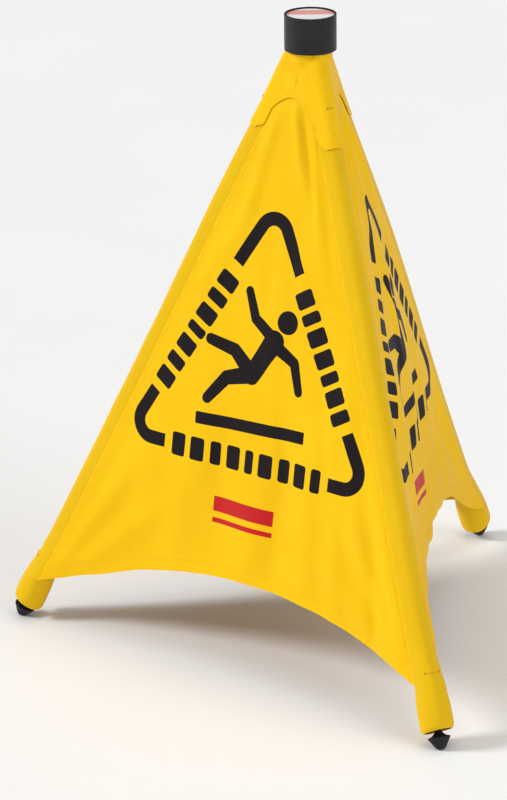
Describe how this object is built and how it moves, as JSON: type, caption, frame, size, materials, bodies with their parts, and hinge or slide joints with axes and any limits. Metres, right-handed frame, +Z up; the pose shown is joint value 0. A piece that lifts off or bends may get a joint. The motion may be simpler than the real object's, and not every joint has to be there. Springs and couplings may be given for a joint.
{
  "type": "pop-up floor warning sign",
  "caption": "Folding three-sided floor warning sign: a capped head, sprung folding legs on rubber feet, and a sewn yellow cover.",
  "frame": {"origin": "on the floor, under the head's axis, midway between the feet", "axes": "+Z up along the head's axis, +Y towards the rear leg, -Y out of the front face"},
  "size_m": [0.4294, 0.3754, 0.508],
  "materials": {
    "cap_black": "satin moulded plastic, black",
    "label": "plain pale printed disc",
    "moulding_black": "fine moulded texture, black",
    "steel": "zinc plated",
    "tube": "drawn, satin",
    "rubber": "soft matte black",
    "cover_yellow": "coated nylon, satin yellow",
    "thread": "heavy polyester thread"
  },
  "bodies": {
    "head": {"cap_shell": "cap_black", "cap_label": "label", "cap_screws": "steel", "hub": "moulding_black", "cover_yoke": "cover_yellow", "cover_clamp": "steel", "cover_panel_front": "cover_yellow", "cover_panel_right": "cover_yellow", "cover_panel_left": "cover_yellow", "hinge_pin_right": "steel", "torsion_spring_right": "steel", "upper_tack_right": "thread", "hinge_pin_rear": "steel", "torsion_spring_rear": "steel", "upper_tack_rear": "thread", "hinge_pin_left": "steel", "torsion_spring_left": "steel", "upper_tack_left": "thread"},
    "leg_right": {"leg_knuckle_right": "moulding_black", "knuckle_rivet_right": "steel", "leg_tube_right": "tube", "end_plug_right": "moulding_black", "foot_tip_right": "rubber", "leg_sleeve_right": "cover_yellow", "lower_tack_right": "thread"},
    "leg_rear": {"leg_knuckle_rear": "moulding_black", "knuckle_rivet_rear": "steel", "leg_tube_rear": "tube", "end_plug_rear": "moulding_black", "foot_tip_rear": "rubber", "leg_sleeve_rear": "cover_yellow", "lower_tack_rear": "thread"},
    "leg_left": {"leg_knuckle_left": "moulding_black", "knuckle_rivet_left": "steel", "leg_tube_left": "tube", "end_plug_left": "moulding_black", "foot_tip_left": "rubber", "leg_sleeve_left": "cover_yellow", "lower_tack_left": "thread"}
  },
  "joints": [
    {"name": "fold_right", "type": "hinge", "parent": "head", "child": "leg_right", "pos_m": [0.00779, -0.0045, 0.482], "axis": [0.5, 0.866, 0], "range_deg": [0, 24.86], "stiffness_Nm_per_rad": 0.15, "springref_deg": -34.38, "deforming": ["torsion_spring_right"]},
    {"name": "fold_rear", "type": "hinge", "parent": "head", "child": "leg_rear", "pos_m": [0, 0.009, 0.482], "axis": [-1, 0, 0], "range_deg": [0, 24.86], "stiffness_Nm_per_rad": 0.15, "springref_deg": -34.38, "deforming": ["torsion_spring_rear"]},
    {"name": "fold_left", "type": "hinge", "parent": "head", "child": "leg_left", "pos_m": [-0.00779, -0.0045, 0.482], "axis": [0.5, -0.866, 0], "range_deg": [0, 24.86], "stiffness_Nm_per_rad": 0.15, "springref_deg": -34.38, "deforming": ["torsion_spring_left"]}
  ],
  "couplings": [
    {"joint": "fold_rear", "follows": "fold_right", "ratio": 1},
    {"joint": "fold_left", "follows": "fold_right", "ratio": 1}
  ]
}
